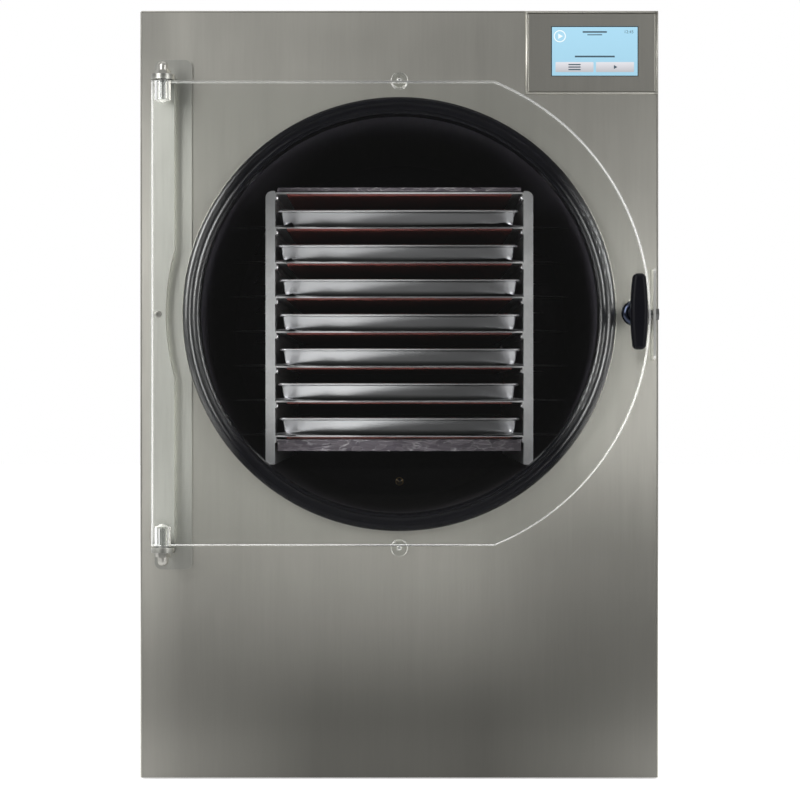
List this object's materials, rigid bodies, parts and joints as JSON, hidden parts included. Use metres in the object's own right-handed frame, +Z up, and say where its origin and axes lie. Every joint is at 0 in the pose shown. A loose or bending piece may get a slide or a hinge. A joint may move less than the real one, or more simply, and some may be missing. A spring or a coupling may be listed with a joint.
{
  "type": "freeze dryer",
  "caption": "Front-loading cabinet freeze dryer: round vacuum chamber with a heated tray rack, clear hinged door with a T-handle latch, touch screen.",
  "frame": {"origin": "on the floor, at the centre of the whole footprint", "axes": "+X the viewer's right, +Y into the machine (the door faces -Y), +Z up"},
  "size_m": [0.616, 0.927, 0.914],
  "materials": {
    "cabinet_steel": "brushed",
    "front_steel": "brushed",
    "fascia_steel": "brushed",
    "screen": "glossy",
    "circuit_board": "matte",
    "frame_steel": "galvanised",
    "foot_rubber": "matte",
    "chamber_steel": "dark satin",
    "copper": "satin",
    "foam": "matte",
    "gasket_rubber": "glossy",
    "rack_steel": "brushed",
    "hardware_steel": "polished",
    "heater_silicone": "matte",
    "tray_steel": "satin",
    "foil": "crinkled",
    "hinge_steel": "brushed",
    "clear_plastic": "clear",
    "black_enamel": "satin",
    "condenser_fins": "satin",
    "fitting_steel": "satin",
    "brass_fitting": "satin",
    "black_plastic": "matte",
    "clear_acrylic": "clear",
    "bush_nylon": "satin",
    "rosette_metal": "polished",
    "handle_black": "matte",
    "rotor_plastic": "matte",
    "rocker_plastic": "glossy",
    "lever_enamel": "glossy"
  },
  "bodies": {
    "cabinet": {"cabinet_wrap": "cabinet_steel", "front_panel": "front_steel", "control_fascia": "fascia_steel", "touchscreen": "screen", "control_board": "circuit_board", "rear_panel": "cabinet_steel", "base_pan": "frame_steel", "feet": "foot_rubber", "vacuum_chamber": "chamber_steel", "evaporator_coil": "copper", "chamber_insulation": "foam", "chamber_cradle": "frame_steel", "door_gasket": "gasket_rubber", "rack_side_left": "rack_steel", "rack_side_right": "rack_steel", "shelf_1": "rack_steel", "shelf_2": "rack_steel", "shelf_3": "rack_steel", "shelf_4": "rack_steel", "shelf_5": "rack_steel", "shelf_6": "rack_steel", "shelf_7": "rack_steel", "shelf_8": "rack_steel", "rack_rivets": "hardware_steel", "heater_mats": "heater_silicone", "tray_1": "tray_steel", "tray_2": "tray_steel", "tray_3": "tray_steel", "tray_4": "tray_steel", "tray_5": "tray_steel", "tray_6": "tray_steel", "tray_7": "tray_steel", "foil_top": "foil", "foil_bottom": "foil", "hinge_base_plate": "hinge_steel", "hinge_bracket": "hinge_steel", "hinge_pins": "hardware_steel", "hinge_nuts": "hardware_steel", "door_bumpers": "clear_plastic", "strike_bracket": "hinge_steel", "strike_bolt": "hardware_steel", "compressor": "black_enamel", "condenser_coil": "condenser_fins", "fan_shroud": "frame_steel", "fan_motor": "black_enamel", "vacuum_port": "fitting_steel", "drain_valve": "brass_fitting", "power_inlet": "black_plastic", "pump_outlet": "black_plastic", "power_switch_frame": "black_plastic"},
    "door": {"door_panel": "clear_acrylic", "door_bushes": "bush_nylon", "latch_rosette": "rosette_metal"},
    "latch": {"latch_shaft": "hardware_steel", "latch_handle": "handle_black", "latch_pawl": "hinge_steel"},
    "strike_roller": {"strike_roller": "hardware_steel"},
    "fan": {"fan_rotor": "rotor_plastic"},
    "power_switch": {"power_switch_rocker": "rocker_plastic"},
    "drain_lever": {"drain_lever": "lever_enamel"}
  },
  "joints": [
    {"name": "door_hinge", "type": "hinge", "parent": "cabinet", "child": "door", "pos_m": [-0.2773, -0.3922, 0.5525], "axis": [0, 0, -1], "range_deg": [0, 180]},
    {"name": "latch_turn", "type": "hinge", "parent": "door", "child": "latch", "pos_m": [0.2745, -0.4085, 0.5525], "axis": [0, 1, 0], "range_deg": [0, 90]},
    {"name": "strike_roller_spin", "type": "hinge", "parent": "cabinet", "child": "strike_roller", "pos_m": [0.2888, -0.3718, 0.5525], "axis": [1, 0, 0], "continuous": true},
    {"name": "fan_spin", "type": "hinge", "parent": "cabinet", "child": "fan", "pos_m": [0.11, 0.3215, 0.1115], "axis": [0, 1, 0], "continuous": true},
    {"name": "power_switch_rock", "type": "hinge", "parent": "cabinet", "child": "power_switch", "pos_m": [0.205, 0.399, 0.86], "axis": [1, 0, 0], "range_deg": [0, 18]},
    {"name": "drain_lever_turn", "type": "hinge", "parent": "cabinet", "child": "drain_lever", "pos_m": [0, 0.4155, 0.3505], "axis": [0, 0, -1], "range_deg": [0, 90]}
  ]
}
